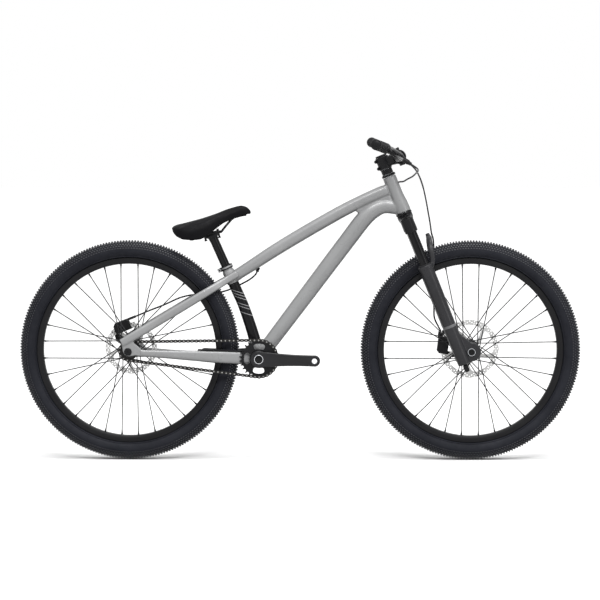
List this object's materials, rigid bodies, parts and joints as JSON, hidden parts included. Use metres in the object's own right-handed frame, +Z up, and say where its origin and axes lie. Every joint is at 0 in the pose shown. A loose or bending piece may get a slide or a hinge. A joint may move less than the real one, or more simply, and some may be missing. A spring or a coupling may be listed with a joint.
{
  "type": "dirt jump bike",
  "caption": "Hardtail dirt jump bike with suspension fork, disc brakes, single-speed chain, spoked wheels, low saddle and riser bar.",
  "frame": {"origin": "on the floor in the bike's middle plane, halfway between the two axles", "axes": "+X towards the front wheel, +Y towards the rider's left, +Z up"},
  "size_m": [1.7216, 0.7818, 0.9865],
  "materials": {
    "frame_paint": "satin metallic silver",
    "black_paint": "satin black",
    "black_alloy": "satin black anodised",
    "fork_paint": "satin dark grey",
    "crank_alloy": "satin dark grey",
    "stanchion_black": "polished black",
    "bright_steel": "brushed",
    "spoke_steel": "satin grey",
    "chain_steel": "dark with pale pins",
    "tyre_rubber": "matt tread",
    "grip_rubber": "matt",
    "hose_plastic": "semi-gloss",
    "shell_plastic": "matt",
    "saddle_cover": "matt grained"
  },
  "bodies": {
    "frame": {"head_tube": "frame_paint", "top_tube": "frame_paint", "down_tube": "frame_paint", "seat_lug": "frame_paint", "seat_tube": "black_paint", "bottom_bracket_shell": "frame_paint", "chainstay_right": "frame_paint", "chainstay_left": "frame_paint", "seatstay_right": "frame_paint", "seatstay_left": "frame_paint", "seat_collar": "black_alloy", "chainstay_guard": "grip_rubber", "headset_cup_upper": "black_alloy", "headset_cup_lower": "black_alloy", "chain": "chain_steel", "rear_caliper": "black_alloy", "rear_hose_front": "hose_plastic", "rear_hose_rear": "hose_plastic", "rear_axle": "bright_steel"},
    "saddle": {"seatpost": "stanchion_black", "saddle_clamp": "black_alloy", "saddle_rails": "black_alloy", "saddle_shell": "shell_plastic", "saddle_cushion": "saddle_cover"},
    "steering": {"steerer_tube": "bright_steel", "fork_crown": "fork_paint", "stanchion_right": "stanchion_black", "stanchion_left": "stanchion_black", "headset_spacer": "black_alloy", "stem": "black_alloy", "stem_faceplate": "black_alloy", "stem_cap": "black_alloy", "handlebar": "black_paint", "grip_right": "grip_rubber", "grip_left": "grip_rubber", "master_cylinder_right": "black_alloy", "master_cylinder_left": "black_alloy", "front_hose": "hose_plastic"},
    "lever_right": {"brake_lever_right": "black_alloy"},
    "lever_left": {"brake_lever_left": "black_alloy"},
    "fork_slider": {"fork_lowers": "fork_paint", "front_axle": "black_alloy", "front_caliper": "black_alloy"},
    "knob": {"rebound_knob": "bright_steel"},
    "front_wheel": {"front_tyre": "tyre_rubber", "front_rim": "black_paint", "front_hub": "spoke_steel", "front_rotor": "bright_steel"},
    "rear_wheel": {"rear_tyre": "tyre_rubber", "rear_rim": "black_paint", "rear_hub": "spoke_steel", "rear_rotor": "bright_steel"},
    "cog": {"rear_cog": "bright_steel"},
    "crank": {"crank_arm_right": "crank_alloy", "crank_arm_left": "crank_alloy", "chainring": "black_alloy"},
    "pad_rear_inner": {"rear_pad_inner": "chain_steel"},
    "pad_rear_outer": {"rear_pad_outer": "chain_steel"},
    "pad_front_inner": {"front_pad_inner": "chain_steel"},
    "pad_front_outer": {"front_pad_outer": "chain_steel"}
  },
  "joints": [
    {"name": "steer", "type": "hinge", "parent": "frame", "child": "steering", "pos_m": [0.31675, 0, 0.7605], "axis": [-0.3746, 0, 0.9272], "range_deg": [-80, 80], "deforming": ["rear_hose_front"]},
    {"name": "fork_travel", "type": "slide", "parent": "steering", "child": "fork_slider", "axis": [-0.3746, 0, 0.9272], "range_m": [0, 0.09], "stiffness_N_per_m": 6000, "springref_m": -0.02, "deforming": ["front_hose"]},
    {"name": "front_wheel_spin", "type": "hinge", "parent": "fork_slider", "child": "front_wheel", "pos_m": [0.52325, 0, 0.3375], "axis": [0, 1, 0], "continuous": true},
    {"name": "rear_wheel_spin", "type": "hinge", "parent": "frame", "child": "rear_wheel", "pos_m": [-0.52325, 0, 0.3375], "axis": [0, 1, 0], "continuous": true},
    {"name": "crank_spin", "type": "hinge", "parent": "frame", "child": "crank", "pos_m": [-0.12475, 0, 0.3145], "axis": [0, 1, 0], "continuous": true, "deforming": ["chain"]},
    {"name": "cog_spin", "type": "hinge", "parent": "frame", "child": "cog", "pos_m": [-0.52325, 0, 0.3375], "axis": [0, 1, 0], "continuous": true},
    {"name": "seatpost_height", "type": "slide", "parent": "frame", "child": "saddle", "axis": [-0.4067, 0, 0.9135], "range_m": [-0.025, 0.03]},
    {"name": "lever_right_pull", "type": "hinge", "parent": "steering", "child": "lever_right", "pos_m": [0.28784, -0.25536, 0.93808], "axis": [-0.5221, 0.0386, -0.852], "range_deg": [0, 16], "stiffness_Nm_per_rad": 0.6, "springref_deg": -5.73},
    {"name": "lever_left_pull", "type": "hinge", "parent": "steering", "child": "lever_left", "pos_m": [0.28784, 0.25536, 0.93808], "axis": [0.5221, 0.0386, 0.852], "range_deg": [0, 16], "stiffness_Nm_per_rad": 0.6, "springref_deg": -5.73},
    {"name": "rebound_turn", "type": "hinge", "parent": "fork_slider", "child": "knob", "pos_m": [0.50292, -0.065, 0.29973], "axis": [-0.3746, 0, 0.9272], "range_deg": [0, 330]},
    {"name": "rear_pad_inner_slide", "type": "slide", "parent": "frame", "child": "pad_rear_inner", "axis": [0, 1, 0], "range_m": [0, 0.00035]},
    {"name": "rear_pad_outer_slide", "type": "slide", "parent": "frame", "child": "pad_rear_outer", "axis": [0, -1, 0], "range_m": [0, 0.00035]},
    {"name": "front_pad_inner_slide", "type": "slide", "parent": "fork_slider", "child": "pad_front_inner", "axis": [0, 1, 0], "range_m": [0, 0.00035]},
    {"name": "front_pad_outer_slide", "type": "slide", "parent": "fork_slider", "child": "pad_front_outer", "axis": [0, -1, 0], "range_m": [0, 0.00035]}
  ],
  "couplings": [
    {"joint": "cog_spin", "follows": "crank_spin", "ratio": 2},
    {"joint": "rear_pad_inner_slide", "follows": "lever_right_pull", "m_per_rad": 0.001253},
    {"joint": "rear_pad_outer_slide", "follows": "lever_right_pull", "m_per_rad": 0.001253},
    {"joint": "front_pad_inner_slide", "follows": "lever_left_pull", "m_per_rad": 0.001253},
    {"joint": "front_pad_outer_slide", "follows": "lever_left_pull", "m_per_rad": 0.001253}
  ]
}
